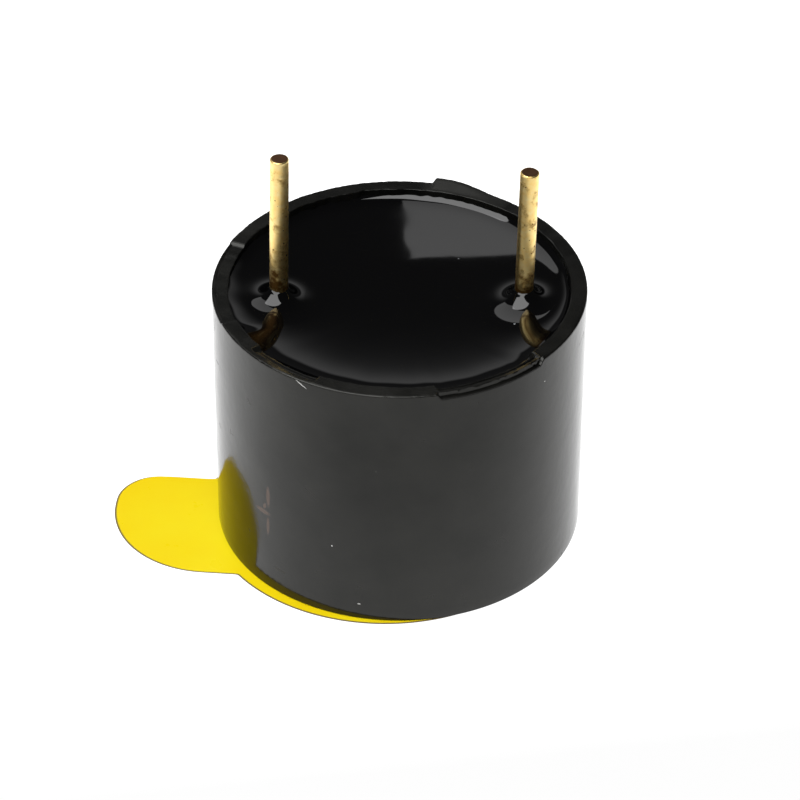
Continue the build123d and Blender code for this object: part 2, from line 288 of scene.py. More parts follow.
# %% Where the pins come out
pin_data = []
for name in ("pin_left", "pin_right"):
    mount = pins[name]
    axis = np.array(mount["axis"]) / np.linalg.norm(mount["axis"])
    middle = np.array(mount["pos_m"]) / MM
    node_low, node_high = node_box("terminal_" + "_".join(reversed(name.split("_"))) if False else
                                   "terminal_pin_" + name.split("_")[1])
    pin_data.append({"name": name, "axis": axis, "middle": middle, "radius": mount["dims"]["r_mm"],
                     "top": node_high[2], "foot": node_low[2], "length": mount["dims"]["length_mm"]})
    print(name, "leans", round(float(np.degrees(np.arcsin(axis[0]))), 2), "degrees")


def pin_centre(pin, z):
    """Point on a pin's axis at a height."""
    return pin["middle"] + pin["axis"] * ((z - pin["middle"][2]) / pin["axis"][2])


# %% Resin height
bowl_depth, bowl_rise, bowl_tilt = 0.76, 0.28, 0.02
pin_climb, pin_reach = 0.50, 0.28
reach_at_front, reach_elsewhere = 0.55, 0.13


def resin_edge(angle):
    """Radius that the resin reaches: just into the wall of the bore."""
    return bore_radius + 0.012 + 0 * angle


def resin_contact(angle):
    """Height of the resin's edge: nearly level with the rim at the back and the left, lower in front."""
    degrees = np.degrees(angle)
    low = rim_z - 0.19 - 0.01 * ramp(-np.sin(angle), -0.2, 0.5) + 0.015 * wobble(angle, 7, 3, 30, 0.7)
    low = low - 0.08 * stretch(degrees, *front_right, soft=4)
    return low - 0.06 * stretch(degrees, *flooded, soft=3)


def resin_height(x, y):
    """Bowl, plus the climb at the wall, plus the climb at each pin."""
    radius, angle = np.hypot(x, y), np.arctan2(y, x)
    bowl = rim_z - bowl_depth + bowl_rise * (radius / bore_radius) ** 2 + bowl_tilt * y
    edge = resin_edge(angle)
    gap = np.clip(edge - radius, 0, None)
    reach = reach_elsewhere + (reach_at_front - reach_elsewhere) * ramp(-np.sin(angle), -0.1, 0.8)
    reach = reach + 0.25 * stretch(np.degrees(angle), 168, 238, soft=22)
    climb = resin_contact(angle) - (rim_z - bowl_depth + bowl_rise + bowl_tilt * edge * np.sin(angle))
    z = bowl + climb * np.exp(-gap / reach)
    for pin in pin_data:
        centre = pin_centre(pin, rim_z - 0.4)
        away = np.clip(np.hypot(x - centre[0], y - centre[1]) - pin["radius"], 0, None)
        z = z + pin_climb * np.exp(-away / pin_reach)
    return z


# %% Resin surface
resin_turns, resin_rings = 640, 118
resin_angle = np.linspace(-np.pi, np.pi, resin_turns, endpoint=False)
ring_share = np.sort(np.concatenate([
    np.linspace(0.03, 0.55, 16, endpoint=False),
    np.linspace(0.55, 0.92, 70, endpoint=False),
    np.linspace(0.92, 1.0, 32),
]))


def resin_surface():
    """Rings from the middle to the edge, then straight down to the board. The middle is one point
    above and one below, so the body is closed."""
    radius = ring_share[:, None] * resin_edge(resin_angle)[None, :]
    x, y = radius * np.cos(resin_angle), radius * np.sin(resin_angle)
    top = np.stack([x, y, resin_height(x, y)], -1)
    skirt_radius = bore_radius - 0.01
    skirt = np.stack([skirt_radius * np.cos(resin_angle), skirt_radius * np.sin(resin_angle)], -1)
    levels = [np.minimum(top[-1, :, 2] - 0.25, rim_z - 0.45), np.full(resin_turns, resin_floor)]
    side = np.stack([np.concatenate([skirt, z[:, None]], -1) for z in levels])
    return np.concatenate([top, side])


resin_points = resin_surface()
resin_quads = grid_faces(len(resin_points), resin_turns, close_columns=True)
middle_number = resin_points.shape[0] * resin_turns
poles = [[0, 0, float(resin_height(np.zeros(1), np.zeros(1))[0])], [0, 0, resin_floor]]
resin_all = np.concatenate([resin_points.reshape(-1, 3), poles])
first_ring, last_ring = np.arange(resin_turns), middle_number - resin_turns + np.arange(resin_turns)
resin_fans = np.concatenate([fan_faces(first_ring, middle_number),
                             fan_faces(last_ring, middle_number + 1, flip=True)])
resin = make_mesh("resin_fill", resin_all, resin_quads[:, ::-1], resin_fans, sharp_degrees=60)

# %% [markdown]
# ## The pins
#
# Each pin was cropped from plated wire, so its side is round, but its end is a little crushed
# and shows bare metal. The grid runs along the pin and round it, and closes at a point at each end.

# %% Pin surface


def pin_surface(pin, seed):
    """A circle carried along the leaning axis. Its radius shrinks over a small rounded edge at the
    top and swells and dips by about a hundredth of a millimetre elsewhere."""
    round_off = 0.05
    turns = np.linspace(0, 2 * np.pi, 72, endpoint=False)
    top = (pin["top"] - pin["middle"][2]) / pin["axis"][2]
    foot = (rim_z - 1.1 - pin["middle"][2]) / pin["axis"][2]
    bend = np.radians(np.linspace(0, 90, 7))
    along = np.concatenate([np.linspace(foot, top - round_off, 90), top - round_off + round_off * np.sin(bend[1:])])
    inset = np.concatenate([np.zeros(90), round_off * (1 - np.cos(bend[1:]))])
    radius = (pin["radius"] - inset)[:, None] + 0.006 * wobble(turns, seed, 2, 6)[None, :] * ramp(
        along, top - 0.6, top)[:, None]
    side = np.cross(pin["axis"], [0, 1, 0])
    side /= np.linalg.norm(side)
    across = np.cross(pin["axis"], side)
    ring = np.cos(turns)[None, :, None] * side + np.sin(turns)[None, :, None] * across
    points = pin["middle"] + along[:, None, None] * pin["axis"] + radius[:, :, None] * ring
    inner = points[-1] * 0.45 + points[-1].mean(0) * 0.55 - pin["axis"] * 0.012
    return np.concatenate([points, inner[None]]), along, top


pin_pieces = []
for number, pin in enumerate(pin_data):
    grid, along, top = pin_surface(pin, 30 + number)
    rows, columns = grid.shape[:2]
    total = rows * columns
    ends = [grid[0].mean(0), grid[-1].mean(0)]
    fans = np.concatenate([fan_faces(np.arange(columns), total, flip=True),
                           fan_faces(total - columns + np.arange(columns), total + 1)])
    quads = grid_faces(rows, columns, close_columns=True)
    piece = make_mesh("gold_" + pin["name"], np.concatenate([grid.reshape(-1, 3), ends]), quads, fans, 50)
    height = np.concatenate([grid[..., 2].ravel(), [ends[0][2], ends[1][2]]])
    cut = np.zeros((rows, columns))
    cut[-2:] = 1
    paint(piece, "cut_end", np.concatenate([cut.ravel(), [0, 1]]))
    paint(piece, "above_resin", height - rim_z)
    pin_pieces.append(piece)

# %% [markdown]
# ## The yellow film
#
# The label is a thin disc with a tab to pull it off by. Seen from the middle of the disc, each
# direction meets the edge once, so the outline is a radius that depends on the angle: the larger
# of the disc's and the tab's. The tab's corners are arcs.

# %% Film outline
film_centre = np.array([-0.45, -0.23])
film_radius = 5.9
tab_turn = np.radians(-5.0)
tab_reach, tab_front, tab_back = 9.4, -4.13, 0.77
front_corner, back_corner = 3.3, 1.4


def inside_tab(x, y):
    """Distance inside the tab's edge, negative outside. The tab is a strip with two corners rounded
    by different radii, so the distance to a corner is taken to its arc's centre."""
    u = x * np.cos(-tab_turn) - y * np.sin(-tab_turn)
    v = x * np.sin(-tab_turn) + y * np.cos(-tab_turn)
    straight = np.minimum(np.minimum(u + tab_reach, v - tab_front), tab_back - v)
    in_front = (u < -tab_reach + front_corner) & (v < tab_front + front_corner)
    in_back = (u < -tab_reach + back_corner) & (v > tab_back - back_corner)
    front = front_corner - np.hypot(u + tab_reach - front_corner, v - tab_front - front_corner)
    back = back_corner - np.hypot(u + tab_reach - back_corner, v - tab_back + back_corner)
    return np.where(in_front, front, np.where(in_back, back, straight))


def film_reach(angle):
    """Radius of the outline from the disc's middle, found by halving the range sixty times."""
    low, high = np.full(angle.shape, film_radius), np.full(angle.shape, 12.0)
    for _ in range(60):
        middle = (low + high) / 2
        x = film_centre[0] + middle * np.cos(angle)
        y = film_centre[1] + middle * np.sin(angle)
        inside = (inside_tab(x, y) > 0) & (np.cos(angle) < 0)
        low, high = np.where(inside, middle, low), np.where(inside, high, middle)
    return low


film_turns = 720
film_angle = np.linspace(-np.pi, np.pi, film_turns, endpoint=False)
film_edge = film_reach(film_angle)
film_edge = (np.roll(film_edge, 1) + 2 * film_edge + np.roll(film_edge, -1)) / 4
film_thickness = label_high[2] - label_low[2]


def film_surface():
    """Rings out to the edge on top, a rounded edge, then rings back in below. The film and its glue
    are thinner towards the case's foot, and beyond it only the film itself is left."""
    share = np.concatenate([np.linspace(0.05, 0.6, 6, endpoint=False), np.linspace(0.6, 0.985, 34), [0.994, 1]])
    inset = film_thickness * 0.3
    top_r = share[:, None] * (film_edge - inset)
    edge_r = np.stack([film_edge, film_edge])
    low_r = (share[::-1])[:, None] * (film_edge - inset)
    radius = np.concatenate([top_r, edge_r, low_r])
    z = np.concatenate([np.full(len(share), 1.0), [0.75, 0.25], np.zeros(len(share))])
    x = film_centre[0] + radius * np.cos(film_angle)
    y = film_centre[1] + radius * np.sin(film_angle)
    squeezed = film_thickness - (film_thickness - 0.018) * np.clip(np.hypot(x, y) / (case_radius - 0.05), 0, 1)
    height = z[:, None] * squeezed
    return np.stack([x, y, height], -1)


film_points = film_surface()
film_total = film_points.shape[0] * film_turns
film_poles = [[*film_centre, film_thickness], [*film_centre, 0]]
film_fans = np.concatenate([
    fan_faces(np.arange(film_turns), film_total),
    fan_faces(film_total - film_turns + np.arange(film_turns), film_total + 1, flip=True)])
film_quads = grid_faces(film_points.shape[0], film_turns, close_columns=True)[:, ::-1]
film = make_mesh("yellow_film", np.concatenate([film_points.reshape(-1, 3), film_poles]), film_quads, film_fans, 50)
# Painted shade: the film's edge and the outermost ring of its top and of its underside are marked here, to be painted
# dark brown all round. This stands in for the thin shadow along the cut edge.
painted_edge_shade = np.zeros(film_points.shape[:2])
painted_edge_shade[41:45] = 1
paint(film, "edge", np.concatenate([painted_edge_shade.ravel(), [0, 0]]))

# %% [markdown]
# ## Putting nodes together
#
# A material is a small graph. The helper below makes one node, sets its values and joins its
# inputs, so that each finish further down reads as a short list of steps.

# %% Node helper


def add(tree, kind, inputs=None, **settings):
    """Adds a node. An input given as a socket is linked, and any other value is set."""
    made = tree.nodes.new(kind)
    for key, value in settings.items():
        setattr(made, key, value)
    for key, value in (inputs or {}).items():
        if isinstance(value, bpy.types.NodeSocket):
            tree.links.new(value, made.inputs[key])
        else:
            made.inputs[key].default_value = value
    return made


def new_group(name, inputs, outputs):
    """An empty shader node group with named sockets; returns its tree, its input and its output."""
    tree = bpy.data.node_groups.new(name, "ShaderNodeTree")
    for label, kind, default in inputs:
        socket = tree.interface.new_socket(label, in_out="INPUT", socket_type=kind)
        if default is not None:
            socket.default_value = default
    for label, kind in outputs:
        tree.interface.new_socket(label, in_out="OUTPUT", socket_type=kind)
    return tree, tree.nodes.new("NodeGroupInput"), tree.nodes.new("NodeGroupOutput")


def use(tree, group, inputs):
    """Places a node group in a tree."""
    made = tree.nodes.new("ShaderNodeGroup")
    made.node_tree = group
    for key, value in inputs.items():
        if isinstance(value, bpy.types.NodeSocket):
            tree.links.new(value, made.inputs[key])
        else:
            made.inputs[key].default_value = value
    return made


# %% [markdown]
# ## Effects that several finishes share
#
# Dust and pits are both scattered dots: a Voronoi pattern cuts space into cells, and a cell that
# draws a high enough random number gets a dot at its middle. Cloudiness is soft noise between two
# values.

# %% Dots and clouds


def dots_group():
    """Mask of scattered round dots. Share is the part of the cells that get one."""
    tree, get, put = new_group(
        "scattered dots",
        [("Vector", "NodeSocketVector", None), ("Scale", "NodeSocketFloat", 1000.0),
         ("Size", "NodeSocketFloat", 0.2), ("Share", "NodeSocketFloat", 0.1)],
        [("Mask", "NodeSocketFloat")])
    cells = add(tree, "ShaderNodeTexVoronoi", {"Vector": get.outputs["Vector"], "Scale": get.outputs["Scale"]})
    draw = add(tree, "ShaderNodeSeparateColor", {"Color": cells.outputs["Color"]})
    chosen = add(tree, "ShaderNodeMath", {0: draw.outputs["Red"], 1: get.outputs["Share"]}, operation="LESS_THAN")
    size = add(tree, "ShaderNodeMath", {0: get.outputs["Size"], 1: draw.outputs["Green"]}, operation="MULTIPLY")
    near = add(tree, "ShaderNodeMath", {0: cells.outputs["Distance"], 1: size.outputs[0]}, operation="LESS_THAN")
    both = add(tree, "ShaderNodeMath", {0: chosen.outputs[0], 1: near.outputs[0]}, operation="MULTIPLY")
    tree.links.new(both.outputs[0], put.inputs["Mask"])
    return tree


def clouds_group():
    """Soft noise spread between two values."""
    tree, get, put = new_group(
        "clouds",
        [("Vector", "NodeSocketVector", None), ("Scale", "NodeSocketFloat", 500.0),
         ("Low", "NodeSocketFloat", 0.0), ("High", "NodeSocketFloat", 1.0),
         ("Detail", "NodeSocketFloat", 4.0)],
        [("Value", "NodeSocketFloat")])
    noise = add(tree, "ShaderNodeTexNoise", {"Vector": get.outputs["Vector"], "Scale": get.outputs["Scale"],
                                             "Detail": get.outputs["Detail"], "Roughness": 0.6})
    spread = add(tree, "ShaderNodeMapRange", {"Value": noise.outputs["Fac"], "From Min": 0.3, "From Max": 0.7,
                                              "To Min": get.outputs["Low"], "To Max": get.outputs["High"]})
    tree.links.new(spread.outputs["Result"], put.inputs["Value"])
    return tree



def scratches_group():
    """Mask of thin broken lines: the borders of warped cells, kept only where a soft noise is high."""
    tree, get, put = new_group(
        "scratches",
        [("Vector", "NodeSocketVector", None), ("Scale", "NodeSocketFloat", 300.0),
         ("Width", "NodeSocketFloat", 0.02), ("Keep", "NodeSocketFloat", 0.6)],
        [("Mask", "NodeSocketFloat")])
    cells = add(tree, "ShaderNodeTexVoronoi", {"Vector": get.outputs["Vector"], "Scale": get.outputs["Scale"]},
                feature="DISTANCE_TO_EDGE")
    thin = add(tree, "ShaderNodeMath", {0: cells.outputs["Distance"], 1: get.outputs["Width"]}, operation="LESS_THAN")
    noise = add(tree, "ShaderNodeTexNoise", {"Vector": get.outputs["Vector"], "Scale": 900.0, "Detail": 3.0})
    kept = add(tree, "ShaderNodeMath", {0: noise.outputs["Fac"], 1: get.outputs["Keep"]}, operation="GREATER_THAN")
    both = add(tree, "ShaderNodeMath", {0: thin.outputs[0], 1: kept.outputs[0]}, operation="MULTIPLY")
    tree.links.new(both.outputs[0], put.inputs["Mask"])
    return tree


dots, clouds, scratches = dots_group(), clouds_group(), scratches_group()
print("shared groups:", [group.name for group in (dots, clouds, scratches)])

# %% A material with its shader


def new_material(name, **shader_values):
    """Material with one Principled shader whose plain values are set on its own sockets."""
    material = bpy.data.materials.new(name)
    material.use_nodes = True
    tree = material.node_tree
    tree.nodes.clear()
    shader = tree.nodes.new("ShaderNodeBsdfPrincipled")
    for key, value in shader_values.items():
        shader.inputs[key.replace("_", " ")].default_value = value
    output = tree.nodes.new("ShaderNodeOutputMaterial")
    tree.links.new(shader.outputs["BSDF"], output.inputs["Surface"])
    place = tree.nodes.new("ShaderNodeTexCoord").outputs["Object"]
    return material, tree, shader, place


def blend_colour(tree, factor, first, second):
    """Mixes two colours by a mask."""
    mix = tree.nodes.new("ShaderNodeMix")
    mix.data_type = "RGBA"
    for slot_name, value in (("Factor", factor), ("A", first), ("B", second)):
        socket = next(s for s in mix.inputs if s.name == slot_name and (
            s.type == "RGBA" if slot_name != "Factor" else s.type == "VALUE"))
        if isinstance(value, bpy.types.NodeSocket):
            tree.links.new(value, socket)
        else:
            socket.default_value = value
    return next(s for s in mix.outputs if s.type == "RGBA")


def add_bump(tree, shader, height, distance_mm, strength=1.0, normal=None):
    """Puts a height pattern on the shader's normal; the distance is the height's real size."""
    inputs = {"Height": height, "Distance": distance_mm * MM, "Strength": strength}
    if normal is not None:
        inputs["Normal"] = normal
    bump = add(tree, "ShaderNodeBump", inputs)
    tree.links.new(bump.outputs["Normal"], shader.inputs["Normal"])
    return bump.outputs["Normal"]


# %% [markdown]
# ## Finishes that show
#
# Black plastic and black resin have next to no colour of their own. What is seen on them is
# reflection, so roughness matters more than colour: the resin is nearly a mirror and the moulded
# wall is a little softer. A few marks on the wall are placed one by one, by angle and height.

# %% Moulded black plastic


def mark_mask(tree, place, angle, height, long_mm, wide_mm, tilt=0.0):
    """Soft spot on the wall at an angle in degrees and a height in mm, stretched along the height
    and turned by tilt degrees: one minus the scaled distance from its middle."""
    a = np.radians(angle)
    middle = Vector((case_radius * np.cos(a), case_radius * np.sin(a), height)) * MM
    moved = add(tree, "ShaderNodeVectorMath", {0: place, 1: middle}, operation="SUBTRACT")
    turned = add(tree, "ShaderNodeVectorRotate", {"Vector": moved.outputs[0], "Angle": -a}, rotation_type="Z_AXIS")
    tipped = add(tree, "ShaderNodeVectorRotate", {"Vector": turned.outputs[0], "Angle": np.radians(tilt)},
                 rotation_type="X_AXIS")
    scale = Vector((1 / wide_mm, 2 / wide_mm, 2 / long_mm)) / MM
    scaled = add(tree, "ShaderNodeVectorMath", {0: tipped.outputs[0], 1: scale}, operation="MULTIPLY")
    far = add(tree, "ShaderNodeVectorMath", {0: scaled.outputs[0]}, operation="LENGTH")
    return add(tree, "ShaderNodeMapRange", {"Value": far.outputs["Value"], "From Min": 1.0, "From Max": 0.6})


brown_marks = [(-133.8, 3.75, 0.95, 0.20, 0), (-136.2, 3.05, 0.22, 0.75, 0), (-134.1, 2.55, 0.85, 0.16, 2),
               (-135.4, 3.3, 0.3, 0.16, 20)]
black_marks = [(-105.8, 6.18, 0.10, 0.10, 0), (-126.3, 4.8, 0.22, 0.07, 10), (-94.0, 2.05, 0.3, 0.1, -20)]
white_marks = [(-120.2, 8.86, 0.5, 0.035, -62), (-110.5, 2.81, 0.07, 0.06, 0), (-40.7, 8.09, 0.06, 0.06, 0),
               (-102.0, 0.62, 0.05, 0.12, 0)]


def case_plastic():
    material, tree, shader, place = new_material("moulded black", IOR=1.42, Specular_Tint=(1, 1, 0.955, 1))
    tint = use(tree, clouds, {"Vector": place, "Scale": 450.0, "Low": 0.0, "High": 1.0}).outputs["Value"]
    colour = blend_colour(tree, tint, (0.001, 0.0012, 0.001, 1), (0.0105, 0.0103, 0.0092, 1))
    for marks, ink in ((brown_marks, (0.075, 0.045, 0.032, 1)), (black_marks, (0.001, 0.001, 0.001, 1)),
                       (white_marks, (0.7, 0.7, 0.68, 1))):
        for mark in marks:
            colour = blend_colour(tree, mark_mask(tree, place, *mark).outputs[0], colour, ink)
    dust = use(tree, dots, {"Vector": place, "Scale": 1300.0, "Size": 0.08, "Share": 0.12}).outputs["Mask"]
    colour = blend_colour(tree, dust, colour, (0.09, 0.09, 0.085, 1))
    lines = use(tree, scratches, {"Vector": place, "Scale": 420.0, "Width": 0.010, "Keep": 0.64}).outputs["Mask"]
    tree.links.new(colour, shader.inputs["Base Color"])
    rim = add(tree, "ShaderNodeAttribute", attribute_name="rim").outputs["Fac"]
    wall_rough = use(tree, clouds, {"Vector": place, "Scale": 700.0, "Low": 0.09, "High": 0.17}).outputs["Value"]
    rim_rough = add(tree, "ShaderNodeMath", {0: rim, 1: 0.08}, operation="MULTIPLY")
    rough = add(tree, "ShaderNodeMath", {0: wall_rough, 1: rim_rough.outputs[0]}, operation="ADD")
    rough = add(tree, "ShaderNodeMath", {0: lines, 1: 0.2, 2: rough.outputs[0]}, operation="MULTIPLY_ADD")
    tree.links.new(rough.outputs[0], shader.inputs["Roughness"])
    grain = use(tree, clouds, {"Vector": place, "Scale": 9000.0, "Low": 0.0, "High": 1.0, "Detail": 2.0})
    dents = use(tree, clouds, {"Vector": place, "Scale": 600.0, "Low": 0.0, "High": 1.0, "Detail": 3.0})
    soft = add(tree, "ShaderNodeBump", {"Height": dents.outputs["Value"], "Distance": 0.006 * MM})
    add_bump(tree, shader, grain.outputs["Value"], 0.0012, normal=soft.outputs["Normal"])
    return material


# %% Cast resin


def resin_black():
    material, tree, shader, place = new_material("cast resin", IOR=1.55)
    dust = use(tree, dots, {"Vector": place, "Scale": 1100.0, "Size": 0.06, "Share": 0.22}).outputs["Mask"]
    colour = blend_colour(tree, dust, (0.0012, 0.0012, 0.0014, 1), (0.22, 0.23, 0.24, 1))
    tree.links.new(colour, shader.inputs["Base Color"])
    haze = use(tree, clouds, {"Vector": place, "Scale": 300.0, "Low": 0.02, "High": 0.045}).outputs["Value"]
    tree.links.new(haze, shader.inputs["Roughness"])
    swell = use(tree, clouds, {"Vector": place, "Scale": 420.0, "Low": 0.0, "High": 1.0, "Detail": 1.0})
    add_bump(tree, shader, swell.outputs["Value"], 0.002)
    return material


# %% Tarnished gold plate, darkened at its foot by a painted reflection of the resin


def gold_plate():
    material, tree, shader, place = new_material("gold plate", Metallic=1.0, IOR=0.47)
    cut = add(tree, "ShaderNodeAttribute", attribute_name="cut_end").outputs["Fac"]
    above = add(tree, "ShaderNodeAttribute", attribute_name="above_resin").outputs["Fac"]
    blotch = use(tree, clouds, {"Vector": place, "Scale": 5200.0, "Low": 0.0, "High": 1.0}).outputs["Value"]
    colour = blend_colour(tree, blotch, (1.0, 0.79, 0.36, 1), (1.0, 0.68, 0.22, 1))
    pits = use(tree, dots, {"Vector": place, "Scale": 12000.0, "Size": 0.38, "Share": 0.09}).outputs["Mask"]
    stain = use(tree, clouds, {"Vector": place, "Scale": 2600.0, "Low": -1.2, "High": 0.7}).outputs["Value"]
    # Painted reflection: from 1.2 mm above the rim's height down to the resin, each pin is darkened more and more
    # towards brown. This stands in for the black resin that the pin mirrors at its foot.
    painted_resin_reflection = add(tree, "ShaderNodeMapRange", {"Value": above, "From Min": 1.2, "From Max": 0.2,
                                                 "To Min": 0.0, "To Max": 1.0})
    # The stain clouds are real tarnish. Adding the painted reflection to them gives one dark brown mask for both.
    tarnish_and_painted_reflection = add(tree, "ShaderNodeMath", {0: stain, 1: painted_resin_reflection.outputs[0]}, operation="ADD")
    tarnish_and_painted_reflection = add(tree, "ShaderNodeClamp", {"Value": tarnish_and_painted_reflection.outputs[0]}).outputs[0]
    colour = blend_colour(tree, tarnish_and_painted_reflection, colour, (0.15, 0.075, 0.018, 1))
    colour = blend_colour(tree, pits, colour, (0.16, 0.08, 0.02, 1))
    colour = blend_colour(tree, cut, colour, (0.24, 0.12, 0.06, 1))
    tree.links.new(colour, shader.inputs["Base Color"])
    rough = add(tree, "ShaderNodeMapRange", {"Value": tarnish_and_painted_reflection, "To Min": 0.33, "To Max": 0.5})
    tree.links.new(rough.outputs[0], shader.inputs["Roughness"])
    add_bump(tree, shader, blotch, 0.004, 0.8)
    return material


# %% Yellow film


def film_yellow():
    material, tree, shader, place = new_material("yellow film", IOR=1.45, Specular_IOR_Level=0.25)
    # Painted shade: the edge attribute marks the film's cut edge. It is painted dark brown below, standing in for the
    # thin shadow along it.
    edge = add(tree, "ShaderNodeAttribute", attribute_name="edge").outputs["Fac"]
    tint = use(tree, clouds, {"Vector": place, "Scale": 260.0, "Low": 0.0, "High": 1.0}).outputs["Value"]
    colour = blend_colour(tree, tint, (1.0, 0.82, 0.012, 1), (1.0, 0.77, 0.004, 1))
    deep = use(tree, clouds, {"Vector": place, "Scale": 120.0, "Low": -0.2, "High": 0.9}).outputs["Value"]
    deep = add(tree, "ShaderNodeClamp", {"Value": deep}).outputs[0]
    colour = blend_colour(tree, deep, colour, (0.97, 0.68, 0.001, 1))
    specks = use(tree, dots, {"Vector": place, "Scale": 700.0, "Size": 0.11, "Share": 0.28}).outputs["Mask"]
    colour = blend_colour(tree, specks, colour, (0.30, 0.20, 0.01, 1))
    # Painted shade along the film's cut edge, in dark brown.
    colour = blend_colour(tree, edge, colour, (0.17, 0.12, 0.05, 1))
    tree.links.new(colour, shader.inputs["Base Color"])
    rough = use(tree, clouds, {"Vector": place, "Scale": 800.0, "Low": 0.25, "High": 0.4}).outputs["Value"]
    tree.links.new(rough, shader.inputs["Roughness"])
    add_bump(tree, shader, tint, 0.01)
    return material


# %% Dress the pieces and tie them to the model
finishes = {"case_plastic": case_plastic(), "epoxy": resin_black(), "gold_plated_brass": gold_plate(),
            "label_film": film_yellow()}
shown = [(case, "case", "case_plastic"), (resin, "potting_epoxy", "epoxy"),
         (pin_pieces[0], "terminal_pin_left", "gold_plated_brass"),
         (pin_pieces[1], "terminal_pin_right", "gold_plated_brass"), (film, "sealing_label", "label_film")]
for piece, node_name, finish in shown:
    piece.data.materials.append(finishes[finish])
    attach(piece, "root")
    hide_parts(node_name)
print("pieces that show:", [piece.name for piece, _, _ in shown])

# %% [markdown]
# ## Finishes sealed inside
#
# The sounder and its driver board can't be seen, but someone may cut the part open. Each finish
# is a base colour with a second tone in its own pattern and a fitting roughness.

# %% Hidden finishes
hidden_looks = {
    "spring_steel": ((0.55, 0.55, 0.57), (0.42, 0.42, 0.44), 1.0, 0.25, 1500.0),
    "soft_iron": ((0.36, 0.35, 0.34), (0.22, 0.20, 0.18), 1.0, 0.45, 2500.0),
    "brass": ((0.75, 0.56, 0.24), (0.60, 0.42, 0.16), 1.0, 0.28, 1200.0),
    "ferrite": ((0.06, 0.06, 0.065), (0.10, 0.10, 0.10), 0.0, 0.75, 6000.0),
    "plated_steel": ((0.62, 0.61, 0.58), (0.50, 0.49, 0.47), 1.0, 0.3, 900.0),
    "nylon": ((0.78, 0.75, 0.66), (0.70, 0.67, 0.58), 0.0, 0.5, 2000.0),
    "enamelled_copper": ((0.66, 0.22, 0.07), (0.42, 0.12, 0.03), 1.0, 0.3, 9000.0),
    "laminate": ((0.48, 0.34, 0.13), (0.40, 0.27, 0.09), 0.0, 0.55, 5000.0),
    "tinned_copper": ((0.70, 0.66, 0.60), (0.56, 0.50, 0.44), 1.0, 0.35, 4000.0),
    "chip_plastic": ((0.02, 0.02, 0.02), (0.035, 0.035, 0.035), 0.0, 0.6, 8000.0),
    "chip_ceramic": ((0.05, 0.05, 0.055), (0.09, 0.09, 0.09), 0.0, 0.4, 8000.0),
    "solder": ((0.66, 0.67, 0.68), (0.50, 0.51, 0.52), 1.0, 0.3, 3000.0),
}


def hidden_finish(name, first, second, metallic, rough, scale):
    material, tree, shader, place = new_material("inside " + name, Metallic=metallic)
    blotch = use(tree, clouds, {"Vector": place, "Scale": scale, "Low": 0.0, "High": 1.0}).outputs["Value"]
    tree.links.new(blend_colour(tree, blotch, (*first, 1), (*second, 1)), shader.inputs["Base Color"])
    spread = add(tree, "ShaderNodeMapRange", {"Value": blotch, "To Min": rough * 0.8, "To Max": rough * 1.2})
    tree.links.new(spread.outputs[0], shader.inputs["Roughness"])
    add_bump(tree, shader, blotch, 0.002)
    return material


inside = {name: hidden_finish(name, *look) for name, look in hidden_looks.items()}
slot_of = {row["node"]: row["material_slot"] for row in frame["record"]["subparts"]}
for node_name, node in frame["nodes"].items():
    if slot_of[node_name] in inside:
        node.data.materials.clear()
        node.data.materials.append(inside[slot_of[node_name]])
print("sealed nodes dressed:", sum(slot_of[n] in inside for n in frame["nodes"]))

# %% [markdown]
# ## The table, the light and the camera
#
# The table is white to the camera. In reflections it is white in front of the part and glows brighter behind it,
# up to 1.6 times white and a little more to the left: painted light, a pool for the pins and the wall to reflect. It
# keeps a little of the real shading so that the part doesn't float.
# It has one side only, so the film can be looked at from below. Above a bright horizon the room is dark, which is
# what makes the resin black. A large lamp overhead lights the film and the table.

# %% Table


def make_table():
    half = 1.5
    corners = np.array([[-half, -half], [half, -half], [half, half], [-half, half]]) / MM
    points = np.concatenate([corners, np.full((4, 1), -0.01)], -1)
    table = make_mesh("table_top", points, np.array([[0, 1, 2, 3]]))
    material = bpy.data.materials.new("white table")
    material.use_nodes = True
    tree = material.node_tree
    tree.nodes.clear()
    shade = add(tree, "ShaderNodeBsdfDiffuse", {"Color": (0.92, 0.92, 0.92, 1)})
    place = tree.nodes.new("ShaderNodeTexCoord").outputs["Object"]
    # Painted light: the glow rises from white 13 mm in front of the part to 1.6 times white 4 mm behind it, and a
    # little more to the left. Glossy rays see it as a pool of light.
    behind = add(tree, "ShaderNodeVectorMath", {0: place, 1: (-0.15, 1, 0)}, operation="DOT_PRODUCT")
    level = add(tree, "ShaderNodeMapRange", {"Value": behind.outputs["Value"], "From Min": -0.013, "From Max": 0.004,
                                             "To Min": 1.0, "To Max": 1.6})
    glow = add(tree, "ShaderNodeEmission", {"Color": (1, 1, 1, 1), "Strength": level.outputs[0]})
    path = tree.nodes.new("ShaderNodeLightPath")
    seen = add(tree, "ShaderNodeMath", {0: path.outputs["Is Camera Ray"], 1: path.outputs["Is Glossy Ray"]},
               operation="MAXIMUM")
    seen = add(tree, "ShaderNodeMath", {0: seen.outputs[0], 1: path.outputs["Is Transmission Ray"]},
               operation="MAXIMUM")
    share = add(tree, "ShaderNodeMath", {0: seen.outputs[0], 1: 0.9}, operation="MULTIPLY")
    mix = add(tree, "ShaderNodeMixShader", {0: share.outputs[0], 1: shade.outputs[0], 2: glow.outputs[0]})
    under = tree.nodes.new("ShaderNodeNewGeometry").outputs["Backfacing"]
    clear = tree.nodes.new("ShaderNodeBsdfTransparent")
    one_sided = add(tree, "ShaderNodeMixShader", {0: under, 1: mix.outputs[0], 2: clear.outputs[0]})
    add(tree, "ShaderNodeOutputMaterial", {"Surface": one_sided.outputs[0]})
    table.data.materials.append(material)
    return table


table = make_table()

# %% Room


